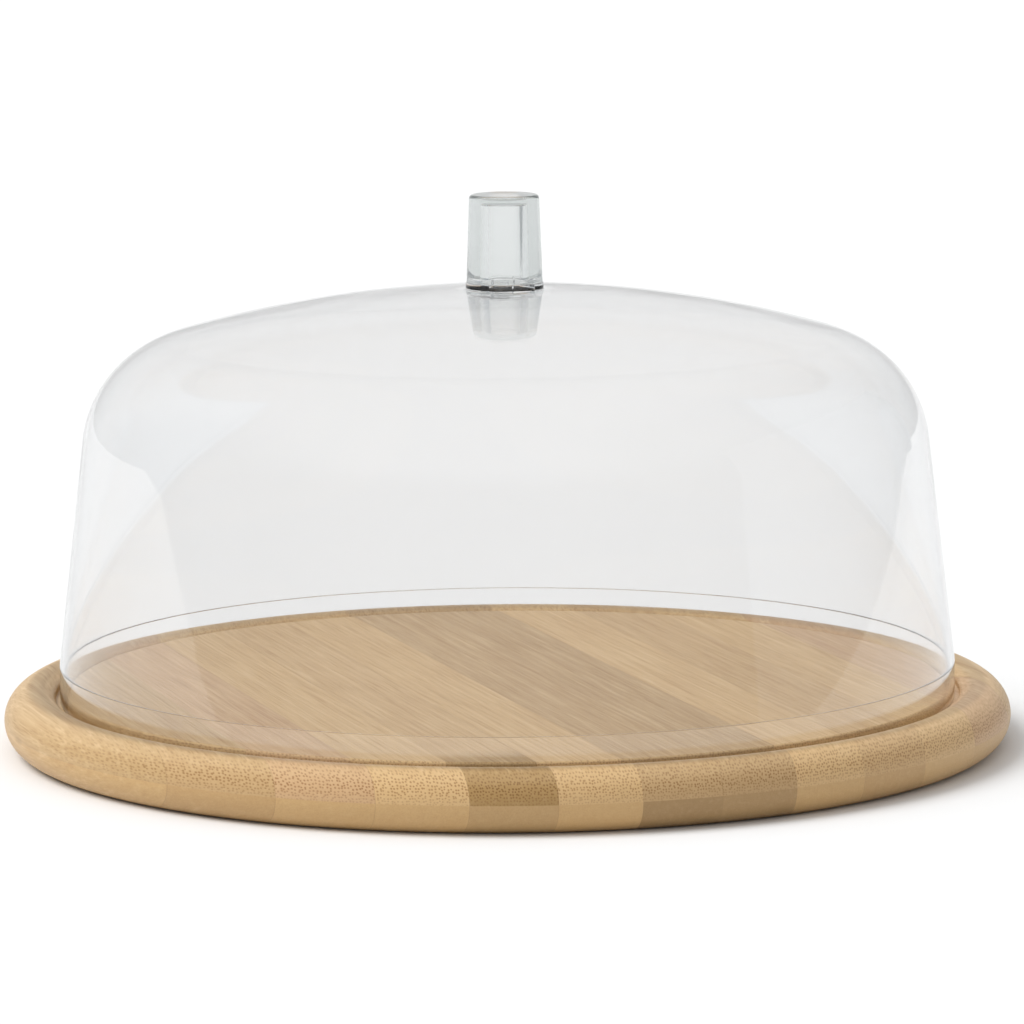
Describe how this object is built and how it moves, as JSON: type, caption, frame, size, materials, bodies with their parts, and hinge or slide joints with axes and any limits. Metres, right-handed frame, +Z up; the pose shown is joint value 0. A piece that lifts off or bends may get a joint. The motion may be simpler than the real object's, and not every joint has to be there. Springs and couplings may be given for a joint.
{
  "type": "cake stand dome",
  "caption": "Round laminated bamboo cake board with a ring groove, and a clear lift-off dome with a hollow twist-lock knob.",
  "frame": {"origin": "middle of the board's underside", "axes": "+Z up through the dome and knob; the front faces -Y, +X to the right"},
  "size_m": [0.33, 0.33, 0.18],
  "materials": {
    "bamboo_light": "oiled satin bamboo, light tone",
    "bamboo_tan": "oiled satin bamboo, tan tone",
    "bamboo_rose": "oiled satin bamboo, rosy tone",
    "bamboo_dark": "oiled satin bamboo, dark tone",
    "clear_dome": "clear moulded plastic, polished",
    "clear_knob": "clear moulded plastic, polished, faint green-grey tint"
  },
  "bodies": {
    "board": {"top_stave_01": "bamboo_light", "top_stave_02": "bamboo_tan", "top_stave_03": "bamboo_rose", "top_stave_04": "bamboo_light", "top_stave_05": "bamboo_dark", "top_stave_06": "bamboo_light", "top_stave_07": "bamboo_tan", "top_stave_08": "bamboo_tan", "top_stave_09": "bamboo_light", "top_stave_10": "bamboo_tan", "top_stave_11": "bamboo_light", "top_stave_12": "bamboo_rose", "top_stave_13": "bamboo_light", "bottom_stave_01": "bamboo_light", "bottom_stave_02": "bamboo_tan", "bottom_stave_03": "bamboo_light", "bottom_stave_04": "bamboo_light", "bottom_stave_05": "bamboo_light", "bottom_stave_06": "bamboo_light", "bottom_stave_07": "bamboo_tan", "bottom_stave_08": "bamboo_tan", "bottom_stave_09": "bamboo_light", "bottom_stave_10": "bamboo_tan", "bottom_stave_11": "bamboo_light", "bottom_stave_12": "bamboo_light", "bottom_stave_13": "bamboo_tan"},
    "dome": {"dome_shell": "clear_dome"},
    "knob": {"knob": "clear_knob"}
  },
  "joints": [
    {"name": "dome_lift", "type": "slide", "parent": "board", "child": "dome", "axis": [0, 0, 1], "range_m": [0, 0.22]},
    {"name": "knob_twist", "type": "hinge", "parent": "dome", "child": "knob", "pos_m": [0, 0, 0.1515], "axis": [0, 0, 1], "range_deg": [0, 50]}
  ]
}
